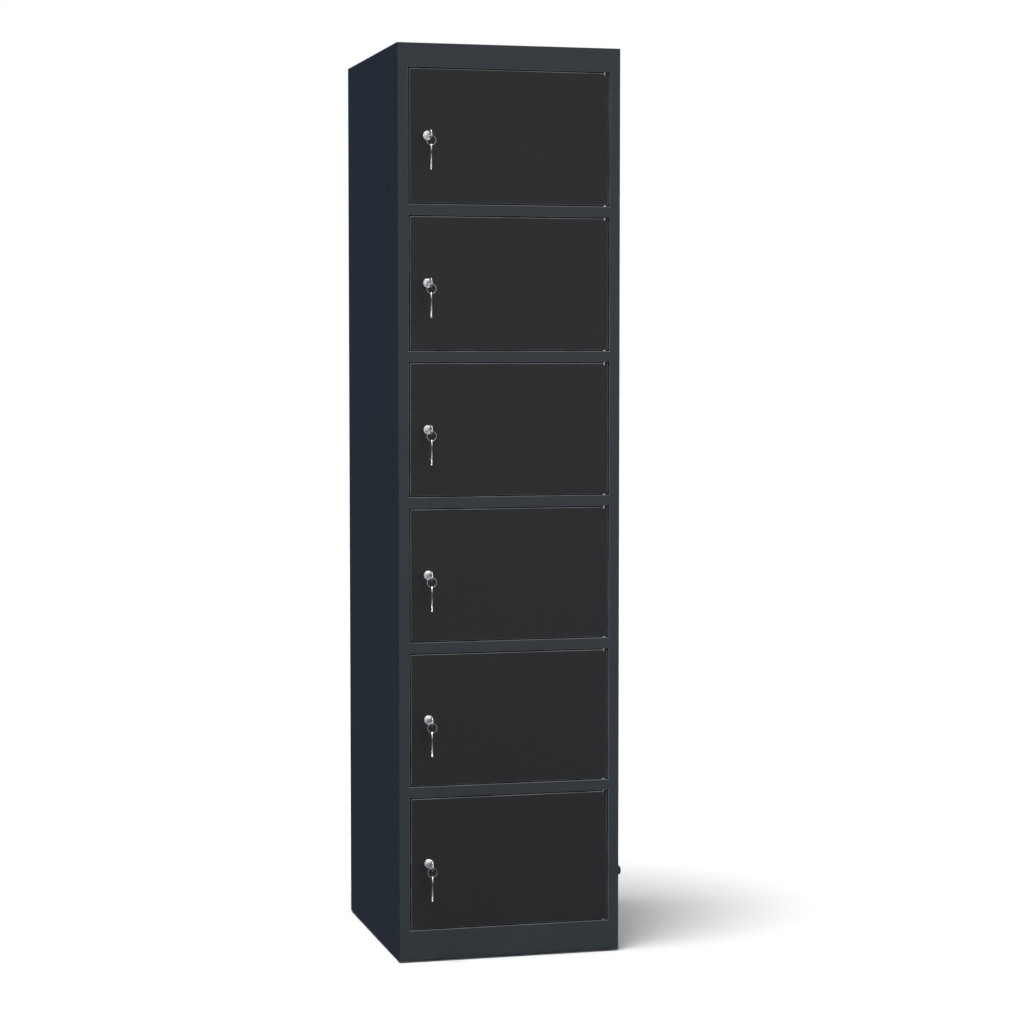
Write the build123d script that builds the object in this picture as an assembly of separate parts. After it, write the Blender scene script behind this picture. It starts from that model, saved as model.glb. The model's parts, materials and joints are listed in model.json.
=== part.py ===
from build123d import *
import os

# Six-door steel locker, one compartment wide.
# Millimetres; X to the right, front towards -Y, Z up; the origin is on the floor,
# under the middle of the sheet-metal body. Depths are counted back from the front face.

# Overall size
WIDTH = 450.0
DEPTH = 500.0
HEIGHT = 1800.0
DOORS = 6

# Folded sheet steel
SHEET = 0.8
BEND = 1.6
SEAM = 0.1

# Front frame
STILE = 22.0
RAIL = 22.0
TOP_RAIL = 47.0
PLINTH_TOP = 64.0
FLOOR_GAP = 4.0
RETURN_DEPTH = 20.0
STILE_LIP = 10.0
STOP_LIP = 8.0
FLANGE = 12.0
REAR_FLANGE = 15.0

# Back panel
GROOVE_DEPTH = 4.0
GROOVE_WIDTH = 30.0
GROOVE_SLOPE = 6.0
GROOVE_X = 75.0
WALL_HOLE_R = 4.0
WALL_HOLE_X = 150.0
WALL_HOLE_DROP = 60.0
RIVET_R = 3.0
RIVET_HEAD = 1.2
RIVETS_PER_SIDE = 8
RIVET_END_GAP = 60.0

# Side holes for bolting lockers together: depth behind the front face, height
LINK_HOLE_R = 4.0
LINK_HOLES = [(85.0, 1520.0), (130.0, 152.0)]

# Round push-in stop on the right side
STOP_DEPTH = 10.0
STOP_Z = 162.0
STOP_R = 9.0
STOP_PROUD = 6.0
STOP_NECK_R = 3.9
STOP_HOLE_R = 4.0
STOP_BARB_R = 4.9

# Doors
DOOR_GAP = 2.0
DOOR_DEPTH = 17.0
DOOR_CORNER = 3.0
DOOR_LIP = 10.0
STIFFENER_X = 30.0
STIFFENER_CROWN = 30.0
STIFFENER_FOOT = 12.0
STIFFENER_DEPTH = 12.0

# Pivot hinges
PIN_FROM_EDGE = 7.0
PIN_FROM_FRONT = 6.0
PIN_R = 2.5
PIN_CLEARANCE = 0.05
PIN_REACH = 8.0
COLLAR_R = 4.0
COLLAR_HEIGHT = 1.6
NOTCH_WIDTH = 8.0
NOTCH_HEIGHT = 3.5
NOTCH_DEPTH = 2.4

# Cam locks
LOCK_FROM_OPENING = 37.5
LOCK_HEAD_R = 9.3
LOCK_HEAD = 1.8
LOCK_RIM_R = 5.8
LOCK_RIM = 1.0
BARREL_R = 7.9
BARREL_HOLE_R = 8.0
BARREL_DEPTH = 21.2
NUT_R = 12.0
NUT_HEIGHT = 4.0
PLUG_BORE_R = 5.2
RUNNING_CLEARANCE = 0.08
CAM_DEPTH = 21.5
CAM_THICK = 2.5
CAM_WIDTH = 16.0
CAM_REACH = 47.0
TAIL_SQUARE = 6.0
CAM_SCREW_R = 5.0
CAM_SCREW_HEAD = 2.5
KEYWAY_WIDTH = 2.8
KEYWAY_HEIGHT = 6.8
KEYWAY_DEPTH = 17.0
STRIKE_HEIGHT = 40.0
STRIKE_THICK = 1.0

# Keys and split rings
KEY_THICK = 1.8
BLADE_THICK = 2.4
BLADE_LENGTH = 24.0
KEY_BLADE = 6.0
KEY_INSERT = 16.0
KEY_NECK = 9.0
KEY_REACH = 26.0
BOW_R = 10.0
BOW_HOLE_R = 3.0
BOW_HOLE_EDGE = 2.2
BOW_BLEND = 3.0
KEY_CUTS = 4
KEY_CUT_PITCH = 3.2
KEY_CUT_DEPTH = 1.3
RING_R = 9.3
RING_WIRE_R = 0.7
RING_CLEARANCE = 0.3
SPARE_CLEARANCE = 0.15

# Small parts
BUFFER_R = 3.0
BUFFER_THICK = 2.8
BUFFER_X = -150.0
FOOT_R = 17.0
FOOT_HEIGHT = 6.0
FOOT_STEM_R = 4.0
FOOT_BOSS_R = 8.0
FOOT_BOSS = 6.0
FOOT_INSET_X = 25.0
FOOT_INSET_FRONT = 42.0
FOOT_INSET_REAR = 32.0

# Worked out from the above
FRONT = -DEPTH / 2
BACK = DEPTH / 2
INNER_X = WIDTH / 2 - SHEET - SEAM
OPENING_X = WIDTH / 2 - STILE
OPENING_HEIGHT = (HEIGHT - TOP_RAIL - PLINTH_TOP - (DOORS - 1) * RAIL) / DOORS
PITCH = OPENING_HEIGHT + RAIL
BACK_PANEL_Y = BACK - SHEET
GROOVE_CREST_Y = BACK_PANEL_Y - GROOVE_DEPTH - SHEET
DOOR_WIDTH = 2 * (OPENING_X - DOOR_GAP)
DOOR_HEIGHT = OPENING_HEIGHT - 2 * DOOR_GAP
HINGE_X = OPENING_X - DOOR_GAP - PIN_FROM_EDGE
HINGE_Y = FRONT + PIN_FROM_FRONT
LOCK_X = -OPENING_X + LOCK_FROM_OPENING
LOCK_FACE_Y = FRONT - LOCK_HEAD
BOW_Y = LOCK_FACE_Y - KEY_REACH
BOW_HOLE_OUT = BOW_R - BOW_HOLE_EDGE - BOW_HOLE_R
RING_Y = BOW_Y - BOW_HOLE_OUT
RING_DROP = BOW_HOLE_R - RING_WIRE_R - RING_CLEARANCE + RING_R
REACH = 10.0 * SHEET


def opening_top(number):
    """Height of the top edge of opening number, counted from 1 at the top."""
    return HEIGHT - TOP_RAIL - (number - 1) * PITCH


def facing_front(x, y, z):
    """Plane square to Y whose normal points to the front, with X right and Z up."""
    return Plane(origin=(x, y, z), x_dir=(1, 0, 0), z_dir=(0, -1, 0))


def box_between(low, high):
    """Box from its lowest corner to its highest."""
    size = [b - a for a, b in zip(low, high)]
    return Pos(*low) * Box(*size, align=(Align.MIN, Align.MIN, Align.MIN))


def round_at(section, point, radius):
    """Section with its corner at point rounded."""
    corner = section.vertices().sort_by_distance(point)[0]
    return fillet(corner, radius)


def folded_section(path):
    """Section of a sheet folded along path, with its thickness to the left of the path."""
    outer = [Vector(*point) for point in path]
    runs = [(b - a).normalized() for a, b in zip(outer, outer[1:])]
    lefts = [Vector(-run.Y, run.X) for run in runs]
    inner = [outer[0] + lefts[0] * SHEET]
    for corner, before, after in zip(outer[1:], lefts, lefts[1:]):
        inner.append(corner + (before + after) * (SHEET / (1 + before.dot(after))))
    inner.append(outer[-1] + lefts[-1] * SHEET)
    section = Sketch() + make_face(Polyline(*outer, *reversed(inner), close=True))
    for index in range(1, len(outer) - 1):
        turns_left = runs[index - 1].cross(runs[index]).Z > 0
        convex, concave = (outer, inner) if turns_left else (inner, outer)
        section = round_at(section, convex[index], BEND)
        section = round_at(section, concave[index], BEND - SHEET)
    return section


def across(path, half_width):
    """Sheet folded along a path in Y and Z, running across the locker."""
    return extrude(Plane.YZ * folded_section(path), amount=half_width, both=True)


def upright(path, bottom, top):
    """Sheet folded along a path in X and Y, standing upright."""
    return extrude(Plane.XY.offset(bottom) * folded_section(path), amount=top - bottom)


def side_flanges(deck_z, front_y, rear_y):
    """Down-turned flanges along both sides of a deck, against the side panels."""
    left = box_between((-INNER_X, front_y, deck_z - FLANGE), (SHEET - INNER_X, rear_y, deck_z))
    return left + mirror(left, Plane.YZ)


def stile_clearance(bottom, top):
    """The two blocks that the stiles take out of a part that passes between them."""
    left = box_between(
        (-WIDTH, FRONT - REACH, bottom),
        (SEAM - OPENING_X, FRONT + RETURN_DEPTH + SEAM, top),
    )
    return left + mirror(left, Plane.YZ)


def side_panel():
    """Left side: rear flange, side, stile face, return and inward lip in one sheet."""
    path = [
        (-WIDTH / 2 + REAR_FLANGE, BACK),
        (-WIDTH / 2, BACK),
        (-WIDTH / 2, FRONT),
        (-OPENING_X, FRONT),
        (-OPENING_X, FRONT + RETURN_DEPTH),
        (-OPENING_X - STILE_LIP, FRONT + RETURN_DEPTH),
    ]
    panel = upright(path, FLOOR_GAP, HEIGHT - SHEET)
    for depth, z in LINK_HOLES:
        place = Pos(-WIDTH / 2, FRONT + depth, z) * Rot(0, 90, 0)
        panel -= place * Cylinder(LINK_HOLE_R, REACH)
    return panel


def stop_hole():
    """Hole that the push-in stop sits in."""
    return Pos(WIDTH / 2, FRONT + STOP_DEPTH, STOP_Z) * Rot(0, 90, 0) * Cylinder(STOP_HOLE_R, REACH)


def side_stop():
    """Domed rubber stop with a neck through the side panel and a barb behind it."""
    low = (Align.CENTER, Align.CENTER, Align.MIN)
    high = (Align.CENTER, Align.CENTER, Align.MAX)
    cap = Cylinder(STOP_R, STOP_PROUD, align=low)
    cap = fillet(cap.edges().sort_by(Axis.Z)[-1], STOP_PROUD * 0.65)
    neck = Pos(0, 0, -SHEET) * Cylinder(STOP_NECK_R, SHEET, align=low)
    barb = Pos(0, 0, -SHEET) * Cone(STOP_NECK_R / 2, STOP_BARB_R, STOP_NECK_R, align=high)
    stop = cap + neck + barb
    return Pos(WIDTH / 2, FRONT + STOP_DEPTH, STOP_Z) * Rot(0, 90, 0) * stop


def back_panel():
    """Back sheet with two upright stiffening grooves and two wall-fixing holes."""
    edge = WIDTH / 2 - 2 * SHEET - 2 * SEAM
    path = [(edge, BACK_PANEL_Y)]
    for centre in (GROOVE_X, -GROOVE_X):
        for x, y in (
            (GROOVE_WIDTH / 2, BACK_PANEL_Y),
            (GROOVE_WIDTH / 2 - GROOVE_SLOPE, BACK_PANEL_Y - GROOVE_DEPTH),
            (GROOVE_SLOPE - GROOVE_WIDTH / 2, BACK_PANEL_Y - GROOVE_DEPTH),
            (-GROOVE_WIDTH / 2, BACK_PANEL_Y),
        ):
            path.append((centre + x, y))
    path.append((-edge, BACK_PANEL_Y))
    panel = upright(path, FLOOR_GAP, HEIGHT - BEND - SHEET / 2)
    for x in (-WALL_HOLE_X, WALL_HOLE_X):
        place = facing_front(x, BACK_PANEL_Y, HEIGHT - WALL_HOLE_DROP)
        panel -= place * Cylinder(WALL_HOLE_R, REACH)
    return panel


def back_rivets():
    """Domed rivet heads along the rear flanges of both side panels."""
    span = HEIGHT - 2 * RIVET_END_GAP
    head = extrude(facing_front(0, BACK + RIVET_HEAD, 0) * Circle(RIVET_R), amount=RIVET_HEAD)
    head = fillet(head.edges().sort_by(Axis.Y)[-1], RIVET_HEAD * 0.8)
    rivets = []
    for side in (-1, 1):
        for step in range(RIVETS_PER_SIDE):
            z = RIVET_END_GAP + span * step / (RIVETS_PER_SIDE - 1)
            rivets.append(Pos(side * (WIDTH / 2 - REAR_FLANGE / 2), 0, z) * head)
    return rivets


def top_panel():
    """Cap over the whole locker, folded down at the front into the top rail."""
    rail_bottom = HEIGHT - TOP_RAIL
    path = [
        (BACK, HEIGHT - REAR_FLANGE),
        (BACK, HEIGHT),
        (FRONT, HEIGHT),
        (FRONT, rail_bottom),
        (FRONT + RETURN_DEPTH, rail_bottom),
        (FRONT + RETURN_DEPTH, rail_bottom - STOP_LIP),
    ]
    panel = across(path, WIDTH / 2)
    cap_underside = HEIGHT - SHEET
    panel -= stile_clearance(0, cap_underside)
    rear_x = WIDTH / 2 - REAR_FLANGE - SEAM
    rear_corner = box_between((rear_x, BACK - 2 * SHEET, 0), (WIDTH, BACK + REACH, cap_underside))
    panel -= rear_corner + mirror(rear_corner, Plane.YZ)
    side = box_between((INNER_X, FRONT, 0), (WIDTH, BACK, cap_underside))
    panel -= side + mirror(side, Plane.YZ)
    return panel + side_flanges(HEIGHT, FRONT + STOP_LIP + RETURN_DEPTH, BACK - FLANGE)


def shelf(rail_top, rail_bottom, last_points):
    """Deck raised behind a front rail, with a door stop above the rail."""
    deck_z = rail_top + STOP_LIP
    path = [
        (GROOVE_CREST_Y, deck_z - FLANGE),
        (GROOVE_CREST_Y, deck_z),
        (FRONT + RETURN_DEPTH, deck_z),
        (FRONT + RETURN_DEPTH, rail_top),
        (FRONT, rail_top),
        (FRONT, rail_bottom),
        (FRONT + RETURN_DEPTH, rail_bottom),
    ] + last_points
    deck = across(path, INNER_X)
    deck -= stile_clearance(rail_bottom - FLANGE, deck_z + FLANGE)
    flange_front = FRONT + STOP_LIP + RETURN_DEPTH
    return deck + side_flanges(deck_z, flange_front, GROOVE_CREST_Y - FLANGE)


def middle_shelf(number):
    """Shelf under opening number, with a stop lip for the door below."""
    rail_top = opening_top(number) - OPENING_HEIGHT
    rail_bottom = rail_top - RAIL
    stop = (FRONT + RETURN_DEPTH, rail_bottom - STOP_LIP)
    return shelf(rail_top, rail_bottom, [stop])


def base_pan():
    """Bottom deck and plinth, with its lower return turned up."""
    stop = (FRONT + RETURN_DEPTH, FLOOR_GAP + STOP_LIP)
    return shelf(PLINTH_TOP, FLOOR_GAP, [stop])


def levelling_feet():
    """Round feet on stems that reach up to the base deck."""
    deck_underside = PLINTH_TOP + STOP_LIP - SHEET
    low = (Align.CENTER, Align.CENTER, Align.MIN)
    high = (Align.CENTER, Align.CENTER, Align.MAX)
    pad = fillet(Cylinder(FOOT_R, FOOT_HEIGHT, align=low).edges().sort_by(Axis.Z)[-1], 2.0)
    foot = pad + Cylinder(FOOT_STEM_R, deck_underside, align=low)
    foot += Pos(0, 0, deck_underside) * Cylinder(FOOT_BOSS_R, FOOT_BOSS, align=high)
    feet = []
    for x in (-WIDTH / 2 + FOOT_INSET_X, WIDTH / 2 - FOOT_INSET_X):
        for y in (FRONT + FOOT_INSET_FRONT, BACK - FOOT_INSET_REAR):
            feet.append(Pos(x, y, 0) * foot)
    return feet


def door(top):
    """Folded pan with its front flush, open at the back inside an inward lip."""
    middle_z = top - DOOR_GAP - DOOR_HEIGHT / 2
    rear = facing_front(0, FRONT + DOOR_DEPTH, middle_z)
    outline = RectangleRounded(DOOR_WIDTH, DOOR_HEIGHT, DOOR_CORNER)
    block = extrude(rear * outline, amount=DOOR_DEPTH)
    block = fillet(block.faces().sort_by(Axis.Y)[0].edges(), BEND)
    hollow_outline = RectangleRounded(
        DOOR_WIDTH - 2 * SHEET, DOOR_HEIGHT - 2 * SHEET, DOOR_CORNER - SHEET
    )
    hollow = extrude(rear * hollow_outline, amount=DOOR_DEPTH - SHEET)
    hollow = fillet(hollow.faces().sort_by(Axis.Y)[0].edges(), BEND - SHEET)
    pan = block - hollow
    mouth = RectangleRounded(
        DOOR_WIDTH - 2 * DOOR_LIP, DOOR_HEIGHT - 2 * DOOR_LIP, DOOR_CORNER
    )
    pan += extrude(rear * (outline - mouth), amount=SHEET)
    pan -= facing_front(LOCK_X, FRONT, middle_z) * Cylinder(BARREL_HOLE_R, REACH)
    pan -= Pos(HINGE_X, HINGE_Y, middle_z) * Cylinder(PIN_R + PIN_CLEARANCE, 2 * DOOR_HEIGHT)
    pan -= box_between(
        (HINGE_X - NOTCH_WIDTH / 2, FRONT - REACH, top - DOOR_GAP - NOTCH_HEIGHT),
        (HINGE_X + NOTCH_WIDTH / 2, FRONT + NOTCH_DEPTH, top),
    )
    return pan


def door_stiffener(top):
    """Hat channel down the inside of a door."""
    half_crown = STIFFENER_CROWN / 2
    inside = FRONT + SHEET
    crown_y = inside + STIFFENER_DEPTH
    path = [
        (STIFFENER_X + half_crown + STIFFENER_FOOT, inside + SHEET),
        (STIFFENER_X + half_crown, inside + SHEET),
        (STIFFENER_X + half_crown, crown_y),
        (STIFFENER_X - half_crown, crown_y),
        (STIFFENER_X - half_crown, inside + SHEET),
        (STIFFENER_X - half_crown - STIFFENER_FOOT, inside + SHEET),
    ]
    end_gap = DOOR_GAP + 2 * BEND
    return upright(path, top - OPENING_HEIGHT + end_gap, top - end_gap)


def hinge_pins(top):
    """Upper and lower pivot pins of one door; the lower one has a thrust collar."""
    length = DOOR_GAP + PIN_REACH
    pin = Cylinder(PIN_R, length, align=(Align.CENTER, Align.CENTER, Align.MIN))
    pin = chamfer(pin.edges().sort_by(Axis.Z)[-1], PIN_R / 4)
    collar = Cylinder(COLLAR_R, COLLAR_HEIGHT, align=(Align.CENTER, Align.CENTER, Align.MIN))
    upper = Pos(HINGE_X, HINGE_Y, top) * Rot(180, 0, 0) * pin
    lower = Pos(HINGE_X, HINGE_Y, top - OPENING_HEIGHT) * (pin + collar)
    return [upper, lower]


def door_buffers(top):
    """Rubber buffers on the stops above and below one door."""
    buffers = []
    for z in (top - STOP_LIP / 2, top - OPENING_HEIGHT + STOP_LIP / 2):
        plane = facing_front(BUFFER_X, FRONT + RETURN_DEPTH, z)
        buffers.append(extrude(plane * Circle(BUFFER_R), amount=BUFFER_THICK))
    return buffers


def strike_plate(lock_z):
    """Wear plate behind the stile's lip, where the cam lands."""
    middle_x = -OPENING_X - STILE_LIP / 2
    plane = facing_front(middle_x, FRONT + RETURN_DEPTH + STRIKE_THICK, lock_z)
    return extrude(plane * RectangleRounded(STILE_LIP, STRIKE_HEIGHT, 1.5), amount=STRIKE_THICK)


def lock_housing(lock_z):
    """Round head and threaded barrel through the door, and the nut that clamps them."""
    head = extrude(facing_front(LOCK_X, FRONT, lock_z) * Circle(LOCK_HEAD_R), amount=LOCK_HEAD)
    head = fillet(head.edges().sort_by(Axis.Y)[0], LOCK_HEAD / 3)
    barrel_end = facing_front(LOCK_X, FRONT + BARREL_DEPTH, lock_z)
    housing = head + extrude(barrel_end * Circle(BARREL_R), amount=BARREL_DEPTH)
    housing -= extrude(barrel_end * Circle(PLUG_BORE_R), amount=BARREL_DEPTH + LOCK_HEAD)
    rim = facing_front(LOCK_X, LOCK_FACE_Y + LOCK_RIM, lock_z)
    housing -= extrude(rim * Circle(LOCK_RIM_R), amount=LOCK_RIM)
    nut_section = RegularPolygon(NUT_R, 6) - Circle(BARREL_HOLE_R)
    nut_back = facing_front(LOCK_X, FRONT + SHEET + NUT_HEIGHT, lock_z)
    return [housing, extrude(nut_back * nut_section, amount=NUT_HEIGHT)]


def lock_plug(lock_z):
    """Plug with its keyway, the cam on its square tail, and the screw that holds the cam."""
    cam_front = facing_front(LOCK_X, FRONT + CAM_DEPTH, lock_z)
    cam_back = facing_front(LOCK_X, FRONT + CAM_DEPTH + CAM_THICK, lock_z)
    plug_r = PLUG_BORE_R - RUNNING_CLEARANCE
    plug = extrude(cam_front * Circle(plug_r), amount=CAM_DEPTH + LOCK_HEAD)
    rim_back = facing_front(LOCK_X, LOCK_FACE_Y + LOCK_RIM - RUNNING_CLEARANCE, lock_z)
    rim_circle = Circle(LOCK_RIM_R - RUNNING_CLEARANCE)
    plug += extrude(rim_back * rim_circle, amount=LOCK_RIM - RUNNING_CLEARANCE)
    keyway = facing_front(LOCK_X, LOCK_FACE_Y + KEYWAY_DEPTH, lock_z)
    plug -= extrude(keyway * Rectangle(KEYWAY_WIDTH, KEYWAY_HEIGHT), amount=KEYWAY_DEPTH)
    plug += extrude(cam_back * Rectangle(TAIL_SQUARE, TAIL_SQUARE), amount=CAM_THICK)
    arm = CAM_REACH - CAM_WIDTH / 2
    blank = Circle(CAM_WIDTH / 2) + Pos(0, -arm) * Circle(CAM_WIDTH / 2)
    blank += Pos(0, -arm / 2) * Rectangle(CAM_WIDTH, arm)
    square = TAIL_SQUARE + 2 * RUNNING_CLEARANCE
    cam = extrude(cam_back * (blank - Rectangle(square, square)), amount=CAM_THICK)
    screw_back = facing_front(LOCK_X, FRONT + CAM_DEPTH + CAM_THICK + CAM_SCREW_HEAD, lock_z)
    screw = extrude(screw_back * Circle(CAM_SCREW_R), amount=CAM_SCREW_HEAD)
    screw = fillet(screw.edges().sort_by(Axis.Y)[-1], CAM_SCREW_HEAD / 3)
    return [plug, cam, screw]


def key_blank():
    """Flat key in X and Y with its tip towards -X; the bow's hole is centred on the origin."""
    bow_x = -BOW_HOLE_OUT
    shoulder = bow_x - KEY_REACH
    tip = shoulder - KEY_INSERT
    half = KEY_BLADE / 2
    blade = make_face(
        Polyline(
            (tip + BLADE_LENGTH, half),
            (tip + half, half),
            (tip, 0),
            (tip + half, -half),
            (tip + BLADE_LENGTH, -half),
            close=True,
        )
    )
    for number in range(KEY_CUTS):
        x = shoulder - (number + 0.5) * KEY_CUT_PITCH
        depth = KEY_CUT_DEPTH * (1.0 if number % 2 else 0.6)
        cut = Polyline((x - depth, -half), (x, depth - half), (x + depth, -half), close=True)
        blade -= make_face(cut)
    plate = Sketch() + Pos((shoulder + bow_x) / 2, 0) * Rectangle(KEY_REACH, KEY_NECK)
    plate += Pos(bow_x, 0) * Circle(BOW_R)
    neck_end = bow_x - (BOW_R**2 - (KEY_NECK / 2) ** 2) ** 0.5
    for side in (-1, 1):
        plate = round_at(plate, Vector(neck_end, side * KEY_NECK / 2), BOW_BLEND)
    plate -= Circle(BOW_HOLE_R)
    key = extrude(blade, amount=BLADE_THICK / 2, both=True)
    return key + extrude(plate, amount=KEY_THICK / 2, both=True)


def key_in_lock(blank, lock_z):
    """Key pushed home, its bow upright in front of the lock."""
    pose = Plane(origin=(LOCK_X, RING_Y, lock_z), x_dir=(0, -1, 0), z_dir=(1, 0, 0))
    return pose * blank


def key_ring(lock_z):
    """Ring that hangs from the bow of the key in the lock."""
    return Pos(LOCK_X, RING_Y, lock_z - RING_DROP) * Rot(90, 0, 0) * Torus(RING_R, RING_WIRE_R)


def spare_key(blank, lock_z):
    """Second key that hangs from the bottom of the ring, tip down."""
    wire_top = lock_z - RING_DROP - RING_R + RING_WIRE_R
    hole_z = wire_top + SPARE_CLEARANCE - BOW_HOLE_R
    pose = Plane(origin=(LOCK_X, RING_Y, hole_z), x_dir=(0, 0, 1), z_dir=(1, 0, 0))
    return pose * blank


def write(node, shapes):
    """Write one node; a list of shapes is a group of separate solids."""
    group = shapes if isinstance(shapes, list) else [shapes]
    solids = [solid for shape in group for solid in shape.solids()]
    export_step(Compound(solids), f"parts/{node}.step")


os.makedirs("parts", exist_ok=True)

left_side = side_panel()
write("left_side_panel", left_side)
write("right_side_panel", mirror(left_side, Plane.YZ) - stop_hole())
write("back_panel", back_panel())
write("top_panel", top_panel())
write("base_pan", base_pan())
for number in range(1, DOORS):
    write(f"shelf_{number}", middle_shelf(number))

tops = [opening_top(number) for number in range(1, DOORS + 1)]
lock_heights = [top - OPENING_HEIGHT / 2 for top in tops]
write("hinge_pins", [pin for top in tops for pin in hinge_pins(top)])
write("door_buffers", [buffer for top in tops for buffer in door_buffers(top)])
write("strike_plates", [strike_plate(z) for z in lock_heights])
write("back_rivets", back_rivets())
write("side_stop", side_stop())
write("levelling_feet", levelling_feet())

blank = key_blank()
for number, (top, lock_z) in enumerate(zip(tops, lock_heights), start=1):
    write(f"door_{number}", door(top))
    write(f"door_{number}_stiffener", door_stiffener(top))
    write(f"lock_{number}_housing", lock_housing(lock_z))
    write(f"lock_{number}_plug", lock_plug(lock_z))
    write(f"key_{number}", key_in_lock(blank, lock_z))
    write(f"key_ring_{number}", key_ring(lock_z))
    write(f"spare_key_{number}", spare_key(blank, lock_z))
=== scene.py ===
import json
import math

import bmesh
import bpy
from mathutils import Matrix, Vector


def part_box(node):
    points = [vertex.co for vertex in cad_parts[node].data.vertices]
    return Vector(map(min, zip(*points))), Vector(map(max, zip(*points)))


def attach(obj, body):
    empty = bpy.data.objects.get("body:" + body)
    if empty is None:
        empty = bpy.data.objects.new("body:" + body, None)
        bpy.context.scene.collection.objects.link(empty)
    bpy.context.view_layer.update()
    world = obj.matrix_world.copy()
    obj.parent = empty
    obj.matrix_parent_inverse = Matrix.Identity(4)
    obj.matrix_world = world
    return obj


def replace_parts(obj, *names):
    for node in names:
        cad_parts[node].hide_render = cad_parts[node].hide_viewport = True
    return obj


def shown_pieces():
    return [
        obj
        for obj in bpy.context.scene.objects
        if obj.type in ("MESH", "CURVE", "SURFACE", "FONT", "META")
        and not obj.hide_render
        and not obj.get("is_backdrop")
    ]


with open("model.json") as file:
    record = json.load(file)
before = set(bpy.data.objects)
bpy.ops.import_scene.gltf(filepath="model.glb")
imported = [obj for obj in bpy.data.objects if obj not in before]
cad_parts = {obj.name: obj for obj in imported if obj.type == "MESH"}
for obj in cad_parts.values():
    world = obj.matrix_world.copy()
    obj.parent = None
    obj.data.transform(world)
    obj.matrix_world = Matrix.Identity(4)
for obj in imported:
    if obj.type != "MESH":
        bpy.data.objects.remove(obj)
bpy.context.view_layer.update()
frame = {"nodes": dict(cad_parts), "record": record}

MM = 0.001
SCENE = bpy.context.scene

# Front frame in mm, as its sheet metal has it
DOORS = 6
HEIGHT = 1800.0
FRONT = -250.0
OPENING_HALF = 203.0
OPENING_TOP = 1753.0
RAIL_HEIGHT = 22.0
PLINTH_TOP = 64.0
PLINTH_FOOT = 4.0


# ---------------------------------------------------------------- node helpers

def new_material(name):
    """A node material and its Principled shader."""
    material = bpy.data.materials.new(name)
    material.use_nodes = True
    return material, material.node_tree, material.node_tree.nodes["Principled BSDF"]


def add_node(tree, kind, **inputs):
    """A shader node with its named inputs set or linked."""
    node = tree.nodes.new(kind)
    for name, value in inputs.items():
        socket = node.inputs[name.replace("_", " ")]
        if isinstance(value, bpy.types.NodeSocket):
            tree.links.new(value, socket)
        else:
            socket.default_value = value
    return node


def noise(tree, where, scale, detail=2.0, roughness=0.5):
    """Noise value between 0 and 1; scale is in features per metre."""
    node = add_node(tree, "ShaderNodeTexNoise", Vector=where, Scale=scale, Detail=detail, Roughness=roughness)
    return node.outputs["Fac"]


def remap(tree, value, low, high, to_low=0.0, to_high=1.0):
    """Value between low and high, stretched to a new range and clamped there."""
    node = add_node(tree, "ShaderNodeMapRange")
    node.inputs["Value"].default_value = 0.0
    tree.links.new(value, node.inputs["Value"])
    for name, number in (("From Min", low), ("From Max", high), ("To Min", to_low), ("To Max", to_high)):
        node.inputs[name].default_value = number
    return node.outputs["Result"]


def math_node(tree, operation, first, second=0.0):
    """One arithmetic step."""
    node = tree.nodes.new("ShaderNodeMath")
    node.operation = operation
    for socket, value in zip(node.inputs, (first, second)):
        if isinstance(value, bpy.types.NodeSocket):
            tree.links.new(value, socket)
        else:
            socket.default_value = value
    return node.outputs["Value"]


def mix_colour(tree, factor, first, second):
    """Blend of two colours by a factor socket."""
    node = tree.nodes.new("ShaderNodeMix")
    node.data_type = "RGBA"
    tree.links.new(factor, node.inputs["Factor"])
    for name, colour in (("A", first), ("B", second)):
        socket = [s for s in node.inputs if s.name == name and s.type == "RGBA"][0]
        if isinstance(colour, bpy.types.NodeSocket):
            tree.links.new(colour, socket)
        else:
            socket.default_value = (*colour, 1.0)
    return [s for s in node.outputs if s.type == "RGBA"][0]


def bump(tree, height, depth, below=None):
    """Bump of a real depth in metres, on top of another bump."""
    node = add_node(tree, "ShaderNodeBump", Strength=1.0, Distance=depth, Height=height)
    if below is not None:
        tree.links.new(below, node.inputs["Normal"])
    return node.outputs["Normal"]


def place(tree, kind="Object"):
    """Texture coordinates."""
    return tree.nodes.new("ShaderNodeTexCoord").outputs[kind]


def stretched(tree, where, scale):
    """Coordinates scaled by a different amount along each axis."""
    return add_node(tree, "ShaderNodeMapping", Vector=where, Scale=scale).outputs["Vector"]


def feed(tree, shader, **sources):
    """Sockets of a shader fed by the outputs of other nodes."""
    for name, source in sources.items():
        tree.links.new(source, shader.inputs[name.replace("_", " ")])


# ---------------------------------------------------------------- materials

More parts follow.
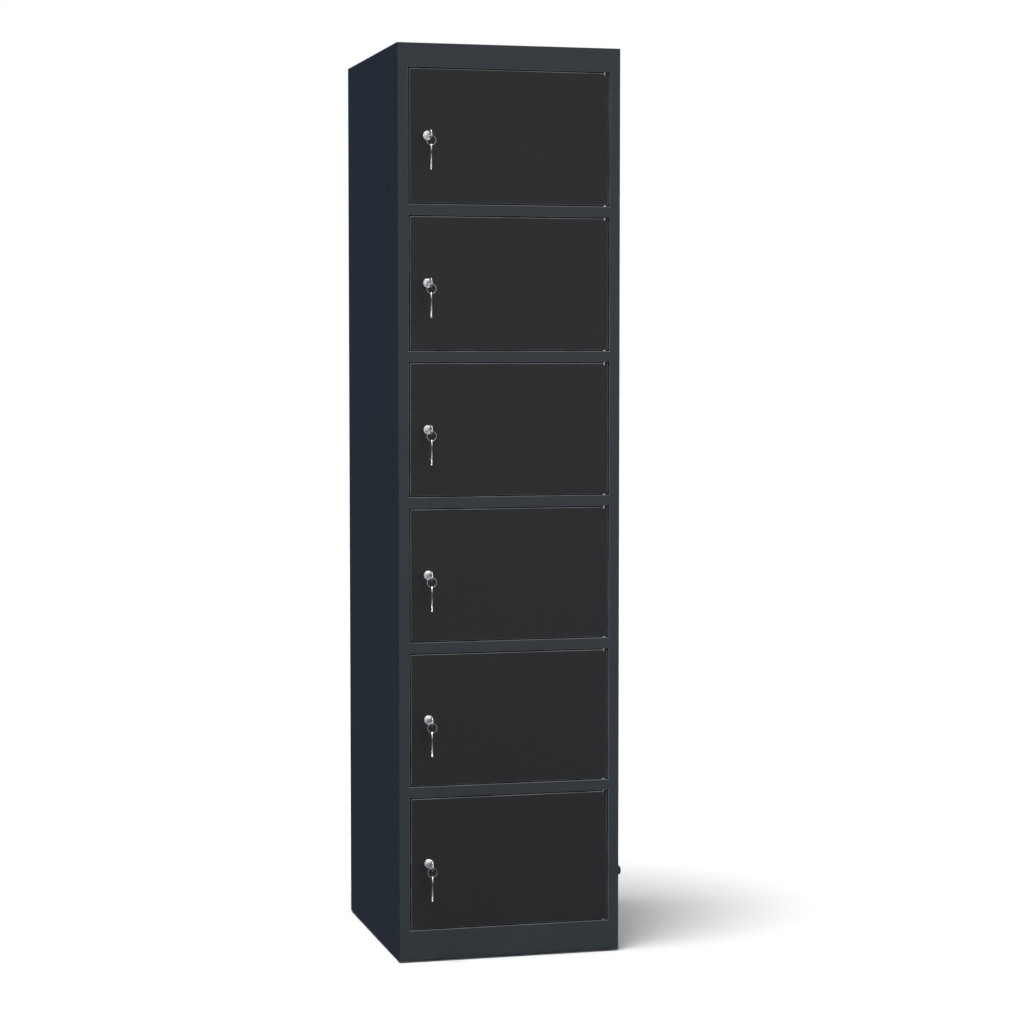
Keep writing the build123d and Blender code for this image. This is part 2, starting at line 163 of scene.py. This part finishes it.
def fold_highlight_mask(tree, where, reach):
    """Painted highlight mask: 1 on the front's folds around the openings and on the lower right outer edge, 0
    elsewhere.
    """
    facing = add_node(tree, "ShaderNodeSeparateXYZ", Vector=place(tree, "Normal"))
    turned = [math_node(tree, "ABSOLUTE", facing.outputs[axis]) for axis in "XYZ"]
    biggest = math_node(tree, "MAXIMUM", math_node(tree, "MAXIMUM", turned[0], turned[1]), turned[2])
    on_fold = remap(tree, biggest, 0.985, 0.86)
    spot = add_node(tree, "ShaderNodeSeparateXYZ", Vector=where)
    aside = math_node(tree, "ABSOLUTE", spot.outputs["X"])
    near_front = remap(tree, spot.outputs["Y"], -0.241, -0.243)
    above_floor = remap(tree, spot.outputs["Z"], 0.03, 0.04)
    below_top = remap(tree, spot.outputs["Z"], 1.78, 1.77)
    uneven = remap(tree, noise(tree, where, 22.0, 3.0), 0.35, 0.6, 0.55, 1.0)
    limits = [remap(tree, aside, reach + MM, reach), near_front, above_floor, below_top, uneven]
    # Painted highlight along the lower right outer fold near the floor, standing in for reflected light.
    at_right_edge = remap(tree, spot.outputs["X"], 0.2220, 0.2232, 0.0, 0.6)
    lower_right_highlight = math_node(tree, "MULTIPLY", on_fold, at_right_edge)
    lower_right_highlight = math_node(tree, "MULTIPLY", lower_right_highlight, remap(tree, spot.outputs["Z"], 0.165, 0.14))
    for limit in limits:
        on_fold = math_node(tree, "MULTIPLY", on_fold, limit)
    return math_node(tree, "MAXIMUM", on_fold, lower_right_highlight)


def powder_coat(name, colour, dust, rough, fold, reach):
    """Fine-textured powder coat on folded sheet: grain, slight sheet waviness, rubs, and a painted highlight
    along the folds.
    """
    material, tree, shader = new_material(name)
    where = place(tree)
    cloud = noise(tree, where, 7.0, 4.0)
    grain = noise(tree, where, 900.0, 2.0)
    peel = noise(tree, where, 260.0, 1.0)
    wave = noise(tree, where, 3.5, 1.0)
    rubs = noise(tree, stretched(tree, where, (60.0, 60.0, 9.0)), 1.0, 5.0, 0.7)
    tone = mix_colour(tree, remap(tree, cloud, 0.3, 0.7), colour, dust)
    flecked = mix_colour(tree, remap(tree, grain, 0.62, 0.78, 0.0, 0.5), tone, [2.2 * c for c in dust])
    # Painted highlight: the light fold colour is mixed in along the folds around the openings and on the
    # lower right edge.
    painted = mix_colour(tree, fold_highlight_mask(tree, where, reach), flecked, fold)
    patchy = remap(tree, cloud, 0.3, 0.7, -0.03, 0.03)
    rubbed = remap(tree, rubs, 0.55, 0.8, 0.0, -0.1)
    uneven = math_node(tree, "ADD", patchy, rubbed)
    normal = bump(tree, peel, 0.00006, bump(tree, wave, 0.0012))
    normal = bump(tree, grain, 0.00005, normal)
    feed(tree, shader, Base_Color=painted, Roughness=math_node(tree, "ADD", uneven, rough), Normal=normal)
    shader.inputs["Specular IOR Level"].default_value = 0.25
    return material


def plated(name, colour, rough, scratch_scale, tint=(1.0, 1.0, 1.0)):
    """Plated metal with fine scratches and a slight cloudiness in the plate."""
    material, tree, shader = new_material(name)
    where = place(tree)
    cloud = noise(tree, where, 220.0, 3.0)
    hairline = noise(tree, stretched(tree, where, scratch_scale), 1.0, 3.0, 0.6)
    dull = [c * 0.78 * t for c, t in zip(colour, tint)]
    plating = mix_colour(tree, remap(tree, cloud, 0.35, 0.75), colour, dull)
    clouded = remap(tree, cloud, 0.3, 0.8, 0.0, 0.12)
    scratched = remap(tree, hairline, 0.4, 0.7, 0.0, 0.1)
    worn = math_node(tree, "ADD", math_node(tree, "ADD", clouded, scratched), rough)
    feed(tree, shader, Base_Color=plating, Roughness=worn, Normal=bump(tree, hairline, 0.00002))
    shader.inputs["Metallic"].default_value = 1.0
    return material


def moulded(name, colour, rough, grain_scale):
    """Moulded rubber or plastic with a fine spark-eroded grain and greyed dust."""
    material, tree, shader = new_material(name)
    where = place(tree)
    grain = noise(tree, where, grain_scale, 3.0)
    dust = noise(tree, where, 60.0, 4.0)
    pale = [c + 0.02 for c in colour]
    dusty = mix_colour(tree, remap(tree, dust, 0.45, 0.75), colour, pale)
    dulled = remap(tree, dust, 0.3, 0.8, rough - 0.06, rough + 0.08)
    feed(tree, shader, Base_Color=dusty, Roughness=dulled, Normal=bump(tree, grain, 0.00005))
    return material


MATERIALS = {
    "body_paint": powder_coat(
        "body_powder_coat",
        colour=(0.035, 0.042, 0.050),
        dust=(0.040, 0.048, 0.057),
        rough=0.5,
        # fold: colour of the painted highlight on the folds around the openings
        fold=(0.22, 0.225, 0.23),
        reach=(OPENING_HALF + 2.5) * MM,
    ),
    "door_paint": powder_coat(
        "door_powder_coat",
        colour=(0.0190, 0.0180, 0.0188),
        dust=(0.0224, 0.0212, 0.0222),
        rough=0.52,
        # fold: colour of the painted highlight on the door folds
        fold=(0.25, 0.25, 0.255),
        reach=(OPENING_HALF + 7.0) * MM,
    ),
    "lock_metal": plated("lock_nickel", (0.92, 0.92, 0.91), 0.36, (2500.0, 600.0, 2500.0)),
    "key_metal": plated("key_nickel", (0.88, 0.87, 0.85), 0.32, (900.0, 4000.0, 900.0)),
    "zinc": plated("zinc_plate", (0.66, 0.67, 0.69), 0.28, (700.0, 700.0, 2600.0), (1.02, 1.0, 0.9)),
    "rubber": moulded("black_rubber", (0.016, 0.016, 0.017), 0.72, 1400.0),
    "foot_plastic": moulded("foot_plastic", (0.020, 0.020, 0.022), 0.5, 2200.0),
}
RING_STEEL = plated("ring_steel", (0.42, 0.42, 0.43), 0.3, (1800.0, 1800.0, 1800.0))


# ---------------------------------------------------------------- mesh helpers

EDGE_ANGLE = math.radians(32.0)


def as_mesh(name, work):
    """New mesh from a bmesh, which is freed."""
    mesh = bpy.data.meshes.new(name)
    work.to_mesh(mesh)
    work.free()
    return mesh


def finish_piece(mesh, name, body, slot, material=None):
    """Object for a mesh, shaded smooth but for its edges, painted, riding on a body."""
    for polygon in mesh.polygons:
        polygon.use_smooth = True
    mesh.set_sharp_from_angle(angle=EDGE_ANGLE)
    piece = bpy.data.objects.new(name, mesh)
    SCENE.collection.objects.link(piece)
    piece.data.materials.clear()
    piece.data.materials.append(material or MATERIALS[slot])
    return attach(piece, body)


def welded(mesh):
    """Mesh with its doubled points merged and its faces turned outward."""
    work = bmesh.new()
    work.from_mesh(mesh)
    bmesh.ops.remove_doubles(work, verts=work.verts, dist=0.002 * MM)
    bmesh.ops.dissolve_degenerate(work, dist=0.001 * MM, edges=work.edges)
    bmesh.ops.recalc_face_normals(work, faces=work.faces)
    work.to_mesh(mesh)
    work.free()
    return mesh


def arc(centre, radius, start, end, steps):
    """Points along an arc, angles in degrees."""
    points = []
    for step in range(steps + 1):
        angle = math.radians(start + (end - start) * step / steps)
        points.append((centre[0] + radius * math.cos(angle), centre[1] + radius * math.sin(angle)))
    return points


def circle(radius, steps):
    """Circle of points about the origin; six of them make a hexagon."""
    return arc((0, 0), radius, 0.0, 360.0, steps)[:-1]


def square(half):
    """Square of points about the origin."""
    return [(-half, -half), (half, -half), (half, half), (-half, half)]


def plate(name, outlines, thickness, edge):
    """Flat plate in X and Y, centred on Z, with rounded rims; later outlines are holes. Sizes in mm."""
    curve = bpy.data.curves.new(name, "CURVE")
    curve.dimensions = "2D"
    curve.fill_mode = "BOTH"
    curve.extrude = (thickness / 2 - edge) * MM
    curve.bevel_depth = edge * MM
    curve.bevel_resolution = 2
    curve.offset = -edge * MM
    for outline in outlines:
        spline = curve.splines.new("POLY")
        spline.points.add(len(outline) - 1)
        for point, (x, y) in zip(spline.points, outline):
            point.co = (x * MM, y * MM, 0.0, 1.0)
        spline.use_cyclic_u = True
    holder = bpy.data.objects.new(name, curve)
    SCENE.collection.objects.link(holder)
    bpy.context.view_layer.update()
    graph = bpy.context.evaluated_depsgraph_get()
    mesh = bpy.data.meshes.new_from_object(holder.evaluated_get(graph))
    bpy.data.objects.remove(holder)
    return welded(mesh)


def lathe(name, profile, segments=64):
    """Solid of revolution about Z; profile is (radius, height) points in mm, from axis to axis or closed."""
    work = bmesh.new()
    closed = profile[0][0] > 0
    rows = []
    for radius, height in profile:
        count = segments if radius > 0 else 1
        row = []
        for step in range(count):
            angle = 2 * math.pi * step / segments
            point = (radius * MM * math.cos(angle), radius * MM * math.sin(angle), height * MM)
            row.append(work.verts.new(point))
        rows.append(row)
    pairs = list(zip(rows, rows[1:]))
    if closed:
        pairs.append((rows[-1], rows[0]))
    for lower, upper in pairs:
        for step in range(segments):
            after = (step + 1) % segments
            corners = [lower[step % len(lower)], lower[after % len(lower)]]
            corners += [upper[after % len(upper)], upper[step % len(upper)]]
            unique = list(dict.fromkeys(corners))
            if len(unique) > 2:
                work.faces.new(unique)
    bmesh.ops.recalc_face_normals(work, faces=work.faces)
    return as_mesh(name, work)


def skinned(name, rows):
    """Closed solid through rows of points, one row for each cross-section, capped at both ends."""
    work = bmesh.new()
    rings = [[work.verts.new(point) for point in row] for row in rows]
    count = len(rings[0])
    for before, after in zip(rings, rings[1:]):
        for index in range(count):
            following = (index + 1) % count
            work.faces.new((before[index], before[following], after[following], after[index]))
    work.faces.new(list(reversed(rings[0])))
    work.faces.new(rings[-1])
    bmesh.ops.recalc_face_normals(work, faces=work.faces)
    return as_mesh(name, work)


def block(name, size, centre):
    """Box mesh used as a cutter; sizes in mm."""
    work = bmesh.new()
    bmesh.ops.create_cube(work, size=1.0)
    for vertex in work.verts:
        vertex.co = Vector([(c * s + o) * MM for c, s, o in zip(vertex.co, size, centre)])
    return as_mesh(name, work)


def combined(base, others, operation):
    """Base mesh joined with, or cut by, other meshes."""
    holder = bpy.data.objects.new("combined", base)
    SCENE.collection.objects.link(holder)
    tools = []
    for mesh in others:
        tool = bpy.data.objects.new("tool", mesh)
        SCENE.collection.objects.link(tool)
        tools.append(tool)
        step = holder.modifiers.new("step", "BOOLEAN")
        step.operation = operation
        step.solver = "EXACT"
        step.object = tool
    bpy.context.view_layer.update()
    graph = bpy.context.evaluated_depsgraph_get()
    mesh = bpy.data.meshes.new_from_object(holder.evaluated_get(graph))
    for thing in [holder, *tools]:
        bpy.data.objects.remove(thing)
    return welded(mesh)


def moved(mesh, matrix):
    """The same mesh at another place."""
    copy = mesh.copy()
    copy.transform(matrix)
    return copy


def raised(mesh, height):
    """The same mesh higher up by a height in mm."""
    return moved(mesh, Matrix.Translation((0, 0, height * MM)))


def joined(name, meshes):
    """Several separate shells as one mesh."""
    work = bmesh.new()
    for mesh in meshes:
        work.from_mesh(mesh)
    return as_mesh(name, work)


def axes(origin, x_axis, y_axis, z_axis):
    """Matrix that carries a piece's own axes to the given ones."""
    matrix = Matrix((x_axis, y_axis, z_axis)).transposed().to_4x4()
    matrix.translation = origin
    return matrix


# ---------------------------------------------------------------- locks and keys

KEY_LENGTH = 52.0
KEY_NECK = 9.0
KEY_REACH = 26.0
BOW_R = 10.0
BOW_HOLE_R = 3.0
BOW_HOLE_EDGE = 2.2
BOW_THICKNESS = 1.8
BLADE_LENGTH = 24.0
BLADE_HEIGHT = 6.0
BLADE_THICKNESS = 2.4
CUT_PITCH = 3.2
CUT_DEPTHS = (0.8, 1.3, 0.8, 1.3)

LOCK_FACE = -1.8
CAM_MIDDLE = 22.75


def bow_outline(bow_x, shoulder):
    """Round bow that narrows into the neck, with bevelled corners at the shoulder."""
    half, bevel = KEY_NECK / 2, 0.8
    meet = math.asin((half + 1.2) / BOW_R)
    waist_x = bow_x - BOW_R * math.cos(meet) - 2.4
    outline = arc((bow_x, 0.0), BOW_R, math.degrees(meet) - 180.0, 180.0 - math.degrees(meet), 56)
    outline += [(waist_x, half), (shoulder + bevel, half), (shoulder, half - bevel)]
    return outline + [(shoulder, bevel - half), (shoulder + bevel, -half), (waist_x, -half)]


def blade_outline(shoulder, tip):
    """Blade with a pointed tip and four cuts in its lower edge."""
    half, back, flat = BLADE_HEIGHT / 2, tip + BLADE_LENGTH, 0.5
    outline = [(back, half), (tip + 2.6, half), (tip + 0.4, 0.7), (tip + 0.4, -0.7), (tip + 2.6, -half)]
    for number, depth in reversed(list(enumerate(CUT_DEPTHS))):
        x = shoulder - (number + 0.5) * CUT_PITCH
        outline += [(x - depth - flat, -half), (x - flat, depth - half)]
        outline += [(x + flat, depth - half), (x + depth + flat, -half)]
    return outline + [(back, -half)]


def key_mesh():
    """Flat key in X and Y, tip towards -X, the bow's hole centred on the origin."""
    bow_x = -(BOW_R - BOW_HOLE_EDGE - BOW_HOLE_R)
    shoulder = bow_x - KEY_REACH
    tip = bow_x + BOW_R - KEY_LENGTH
    bow = plate("bow", [bow_outline(bow_x, shoulder), circle(BOW_HOLE_R, 40)], BOW_THICKNESS, 0.3)
    blade = plate("blade", [blade_outline(shoulder, tip)], BLADE_THICKNESS, 0.2)
    key = combined(bow, [blade], "UNION")
    groove_size = (BLADE_LENGTH - 3.0, 1.3, 0.9)
    groove_x = tip + groove_size[0] / 2
    field_profile = [(0, -0.3), (3.4, -0.3), (3.7, 0.3), (0, 0.3)]
    cutters = []
    for side in (-1, 1):
        cutters.append(block("groove", groove_size, (groove_x, 0.5, side * BLADE_THICKNESS / 2)))
        field_at = Vector((bow_x - 4.4, 0.0, side * BOW_THICKNESS / 2)) * MM
        cutters.append(moved(lathe("field", field_profile, 40), Matrix.Translation(field_at)))
    return combined(key, cutters, "DIFFERENCE")


def split_ring_mesh():
    """Split ring about Z: two turns of flat wire that cross over once. Sizes in mm."""
    radius, half_radial, half_axial, turns, steps = 9.3, 0.5, 0.32, 1.94, 176
    crossing_start, crossing_span, layer = 0.46, 0.08, 1.1 * half_axial
    section = [(half_radial, -0.5), (half_radial, 0.5), (0.6 * half_radial, 1.0), (-0.6 * half_radial, 1.0)]
    section += [(-x, -y) for x, y in section]
    rows = []
    for step in range(steps + 1):
        share = step / steps
        angle = 2 * math.pi * turns * share
        climb = min(1.0, max(0.0, (share - crossing_start) / crossing_span))
        height = layer * (2 * (climb * climb * (3 - 2 * climb)) - 1)
        row = []
        for out, up in section:
            x, y = (radius + out) * math.cos(angle), (radius + out) * math.sin(angle)
            row.append(Vector((x, y, height + up * half_axial)) * MM)
        rows.append(row)
    return skinned("split_ring", rows)


def thread(radius, start, end, pitch=1.0, depth=0.35):
    """Profile of a thread's ridges from one height to another."""
    points = []
    height = start
    while height + pitch <= end + 1e-6:
        points += [(radius - depth, height), (radius, height + 0.4 * pitch), (radius, height + 0.6 * pitch)]
        height += pitch
    points.append((radius - depth, height))
    return points


def lock_body_mesh():
    """Head, threaded barrel and hex nut, in mm; the head looks towards -Z, the door's face is at 0."""
    face, head_r, rim_r, barrel_r, bore, back = LOCK_FACE, 9.3, 5.8, 7.9, 5.2, 21.2
    round_r, round_z = 0.9, face + 1.05
    profile = [(bore, back), (bore, face + 1.0), (rim_r, face + 1.0), (rim_r, face + 0.15)]
    profile += [(rim_r + 0.2, face), (head_r - 1.9, face), (head_r - 1.4, face + 0.12)]
    for angle in (0.35, 0.7, 1.05, 1.4):
        profile.append((head_r + round_r * (math.sin(angle) - 1), round_z - round_r * math.cos(angle)))
    profile += [(head_r, -0.1), (head_r - 0.1, 0.0), (barrel_r - 0.4, 0.0)]
    profile += thread(barrel_r, 0.1, 20.1)
    profile += [(barrel_r - 0.5, back - 0.2), (barrel_r - 0.7, back)]
    barrel = lathe("lock_barrel", profile, 72)
    nut = raised(plate("nut", [circle(12.0, 6), circle(barrel_r + 0.15, 48)], 4.0, 0.5), 2.8)
    return joined("lock_body", [barrel, nut])


def lock_core_mesh():
    """Plug with its keyway, cam and cam screw, in mm; the cam hangs towards -Y at rest."""
    face, plug_r, plug_back, cam_r, cam_reach = LOCK_FACE, 5.12, 21.5, 8.0, 39.0
    profile = [(0, face), (5.3, face), (5.66, face + 0.2), (5.72, face + 0.9), (plug_r, face + 0.95)]
    profile += [(plug_r, plug_back), (0, plug_back)]
    keyway = block("keyway", (2.8, 6.8, 17.0), (0, 0, face + 8.4))
    mouth = block("keyway_mouth", (3.4, 7.3, 0.5), (0, 0, face))
    plug = combined(lathe("plug", profile, 64), [keyway, mouth], "DIFFERENCE")
    tail = raised(plate("tail", [square(3.0)], 2.6, 0.2), CAM_MIDDLE)
    outline = arc((0, 0), cam_r, 0.0, 180.0, 24) + arc((0, -cam_reach), cam_r, 180.0, 360.0, 24)
    cam = raised(plate("cam", [outline, square(3.08)], 2.5, 0.35), CAM_MIDDLE)
    screw = lathe("screw", [(0, 24.0), (5.0, 24.0), (5.0, 24.9), (4.4, 25.9), (3.0, 26.4), (0, 26.5)], 48)
    cross = [block("cross", size, (0, 0, 26.4)) for size in ((4.4, 0.9, 2.0), (0.9, 4.4, 2.0))]
    screw = combined(screw, cross, "DIFFERENCE")
    return joined("lock_core", [plug, tail, cam, screw])


def lock_place(number):
    """Where a lock's axis meets the door's face, from the housing's own box."""
    low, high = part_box(f"lock_{number}_housing")
    door_low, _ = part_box(f"door_{number}")
    return Vector(((low.x + high.x) / 2, door_low.y, (low.z + high.z) / 2))


def build_locks():
    """Detailed lock, key, ring and spare key on every door."""
    key = key_mesh()
    ring = split_ring_mesh()
    body = lock_body_mesh()
    core = lock_core_mesh()
    right, up, inward = Vector((1, 0, 0)), Vector((0, 0, 1)), Vector((0, 1, 0))
    upright = Matrix.Rotation(math.radians(90), 4, "X")
    for number in range(1, DOORS + 1):
        at = lock_place(number)
        standing = axes(at, right, up, inward) @ Matrix.Scale(-1, 4, (1, 0, 0))
        for mesh, name, rides, replaced in (
            (body, f"lock_{number}_body", f"door_{number}", f"lock_{number}_housing"),
            (core, f"lock_{number}_core", f"lock_{number}", f"lock_{number}_plug"),
        ):
            placed = moved(mesh, standing)
            placed.flip_normals()
            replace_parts(finish_piece(placed, name, rides, "lock_metal"), replaced)
        ring_low, ring_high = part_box(f"key_ring_{number}")
        ring_at = (ring_low + ring_high) / 2
        hole = Vector((at.x, ring_at.y, at.z))
        placed = moved(key, axes(hole, -inward, up, -right))
        key_piece = finish_piece(placed, f"key_{number}_nickel", f"key_{number}", "key_metal")
        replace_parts(key_piece, f"key_{number}")
        ends_turn = Matrix.Rotation(math.radians(25.0 + 40.0 * number), 4, "Y")
        placed = moved(ring, Matrix.Translation(ring_at) @ ends_turn @ upright)
        name = f"key_ring_{number}_split"
        split_ring = finish_piece(placed, name, f"key_ring_{number}", "key_metal", RING_STEEL)
        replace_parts(split_ring, f"key_ring_{number}")
        _, spare_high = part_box(f"spare_key_{number}")
        hole = Vector((at.x, ring_at.y, spare_high.z - (BOW_HOLE_EDGE + BOW_HOLE_R) * MM))
        twist = Matrix.Rotation(math.radians(-12.5 + 3.0 * math.sin(2.4 * number)), 3, "Z")
        placed = moved(key, axes(hole, up, twist @ inward, twist @ -right))
        name = f"spare_key_{number}_nickel"
        spare = finish_piece(placed, name, f"spare_key_{number}", "key_metal")
        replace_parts(spare, f"spare_key_{number}")


# ---------------------------------------------------------------- frame joints

def rail_heights():
    """Lowest and highest point of the top rail, of the rails between openings and of the plinth, in mm."""
    pitch = (OPENING_TOP - PLINTH_TOP + RAIL_HEIGHT) / DOORS
    lows = [OPENING_TOP - pitch * number for number in range(1, DOORS)]
    between = [(low, low + RAIL_HEIGHT) for low in lows]
    return [(OPENING_TOP, HEIGHT - 0.9), *between, (PLINTH_FOOT, PLINTH_TOP)]


def build_joint_fills():
    """Ground and painted weld filler where each rail meets the stiles, so the front frame reads as one."""
    fold, inner_x, outer_x = 1.6, OPENING_HALF - 0.6, OPENING_HALF + 2.2
    face, rear = FRONT - 0.04, FRONT + 1.5
    shells = []
    for low, high in rail_heights():
        section = [(rear, low + 0.2)]
        section += arc((face + fold, low + fold), fold, 270.0, 180.0, 6)
        if high < HEIGHT - RAIL_HEIGHT:
            section += arc((face + fold, high - fold), fold, 180.0, 90.0, 6)
            section.append((rear, high - 0.2))
        else:
            section += [(face, high), (rear, high)]
        for side in (-1, 1):
            rows = [[Vector((side * x, y, z)) * MM for y, z in section] for x in (inner_x, outer_x)]
            shells.append(skinned("joint_fill", rows))
    finish_piece(joined("frame_joint_fills", shells), "frame_joint_fills", "cabinet", "body_paint")


# ---------------------------------------------------------------- feet

def build_feet():
    """Threaded levelling feet with a hex nut under the base deck."""
    low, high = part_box("levelling_feet")
    pad_r, stem_r, stem_top, nut_middle = 17.0, 4.0, 71.2, 68.2
    profile = [(0, 0), (pad_r - 1.2, 0), (pad_r - 0.4, 0.3), (pad_r, 1.0), (pad_r, 3.6), (pad_r - 0.6, 5.0)]
    profile += [(pad_r - 2.0, 5.8), (stem_r + 3.0, 6.4), (stem_r + 1.0, 7.2)]
    profile += thread(stem_r, 8.0, 70.0, 1.25, 0.5)
    profile += [(stem_r - 0.5, stem_top), (0, stem_top)]
    nut = raised(plate("foot_nut", [circle(8.0, 6), circle(stem_r + 0.1, 32)], 6.0, 0.5), nut_middle)
    foot = joined("levelling_foot", [lathe("foot", profile, 56), nut])
    inset = pad_r * MM
    corners = [(x, y) for x in (low.x + inset, high.x - inset) for y in (low.y + inset, high.y - inset)]
    for number, (x, y) in enumerate(corners, 1):
        placed = moved(foot, Matrix.Translation((x, y, 0.0)))
        foot_piece = finish_piece(placed, f"levelling_foot_{number}", "cabinet", "foot_plastic")
        if number == 1:
            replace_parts(foot_piece, "levelling_feet")


def paint_cad_nodes():
    """Every CAD node that stays gets the material of its slot."""
    slots = {part["node"]: part["material_slot"] for part in frame["record"]["subparts"]}
    for name, node in frame["nodes"].items():
        node.data.materials.clear()
        node.data.materials.append(MATERIALS[slots[name]])


# ---------------------------------------------------------------- studio

FLOOR_HALF = 30.0
WHITE = (1.0, 1.0, 1.0)


def camera_sees(tree):
    """1 where the camera itself looks, 0 for light on its way to the object."""
    return tree.nodes.new("ShaderNodeLightPath").outputs["Is Camera Ray"]


def build_floor():
    """Plain pale floor, not part of the object; it sends little light back up at the locker."""
    work = bmesh.new()
    bmesh.ops.create_grid(work, x_segments=1, y_segments=1, size=FLOOR_HALF)
    floor = bpy.data.objects.new("floor", as_mesh("floor", work))
    SCENE.collection.objects.link(floor)
    material, tree, shader = new_material("pale_floor")
    speck = noise(tree, place(tree), 40.0, 3.0)
    pale = mix_colour(tree, speck, (0.90, 0.90, 0.90), (0.92, 0.92, 0.92))
    feed(tree, shader, Base_Color=mix_colour(tree, camera_sees(tree), (0.05, 0.065, 0.085), pale))
    shader.inputs["Roughness"].default_value = 0.8
    shader.inputs["Specular IOR Level"].default_value = 0.1
    floor.data.materials.append(material)
    floor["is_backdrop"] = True


def build_world():
    """Studio surround: bright in front, dim overhead, dim and cool behind and on the locker's left."""
    ahead_light, behind_light = (1.50, 1.52, 1.55), (0.03, 0.07, 0.13)
    left_light, above_light = (0.08, 0.155, 0.27), (0.10, 0.10, 0.105)
    world = bpy.data.worlds.new("studio")
    SCENE.world = world
    world.use_nodes = True
    tree = world.node_tree
    background = tree.nodes["Background"]
    direction = add_node(tree, "ShaderNodeSeparateXYZ", Vector=place(tree, "Generated"))
    ahead = remap(tree, direction.outputs["Y"], 0.2, -0.6)
    rightward = remap(tree, direction.outputs["X"], -0.95, -0.45)
    above = remap(tree, direction.outputs["Z"], 0.3, 0.6)
    level = mix_colour(tree, ahead, behind_light, ahead_light)
    level = mix_colour(tree, rightward, left_light, level)
    surround = mix_colour(tree, above, level, above_light)
    feed(tree, background, Color=mix_colour(tree, camera_sees(tree), surround, WHITE))
    background.inputs["Strength"].default_value = 1.0


def add_lamp(name, kind, energy, location, backward):
    """Light that shines away from the backward direction."""
    data = bpy.data.lights.new(name, kind)
    data.energy = energy
    lamp = bpy.data.objects.new(name, data)
    lamp.location = location
    lamp.rotation_euler = Vector(backward).to_track_quat("Z", "Y").to_euler()
    SCENE.collection.objects.link(lamp)
    return lamp


def build_lights():
    """Broad light almost overhead for a soft floor shadow on the right, and a low fill in front."""
    overhead = add_lamp("overhead", "SUN", 3.4, (0.0, 0.0, 0.0), (-0.175, -0.11, 1.0))
    overhead.data.angle = math.radians(25.0)
    low_fill = add_lamp("low_fill", "AREA", 8.0, (0.7, -3.0, 0.5), (0.7, -3.0, 0.25))
    low_fill.data.size = 1.6


def light_the_rear():
    """Fill for the back and the right side that falls on the object only, not on the floor."""
    receivers = bpy.data.collections.new("object_only")
    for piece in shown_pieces():
        receivers.objects.link(piece)
    fill = add_lamp("rear_fill", "AREA", 230.0, (3.2, 3.4, 1.8), (3.2, 3.4, 0.9))
    fill.data.size = 2.5
    fill.light_linking.receiver_collection = receivers


def build_camera():
    """Camera at chest height in front of the locker and to its left."""
    yaw, tilt = math.radians(14.544), math.radians(3.455)
    data = bpy.data.cameras.new("camera")
    data.sensor_width = 36.0
    data.lens = 91.82
    camera = bpy.data.objects.new("camera", data)
    camera.location = (-1.2871, -5.2259, 1.1983)
    forward = Vector((math.sin(yaw) * math.cos(tilt), math.cos(yaw) * math.cos(tilt), -math.sin(tilt)))
    camera.rotation_euler = forward.to_track_quat("-Z", "Y").to_euler()
    SCENE.collection.objects.link(camera)
    SCENE.camera = camera


SCENE.view_settings.view_transform = "Standard"
build_camera()
build_floor()
build_world()
build_lights()
paint_cad_nodes()
build_locks()
build_joint_fills()
build_feet()
light_the_rear()
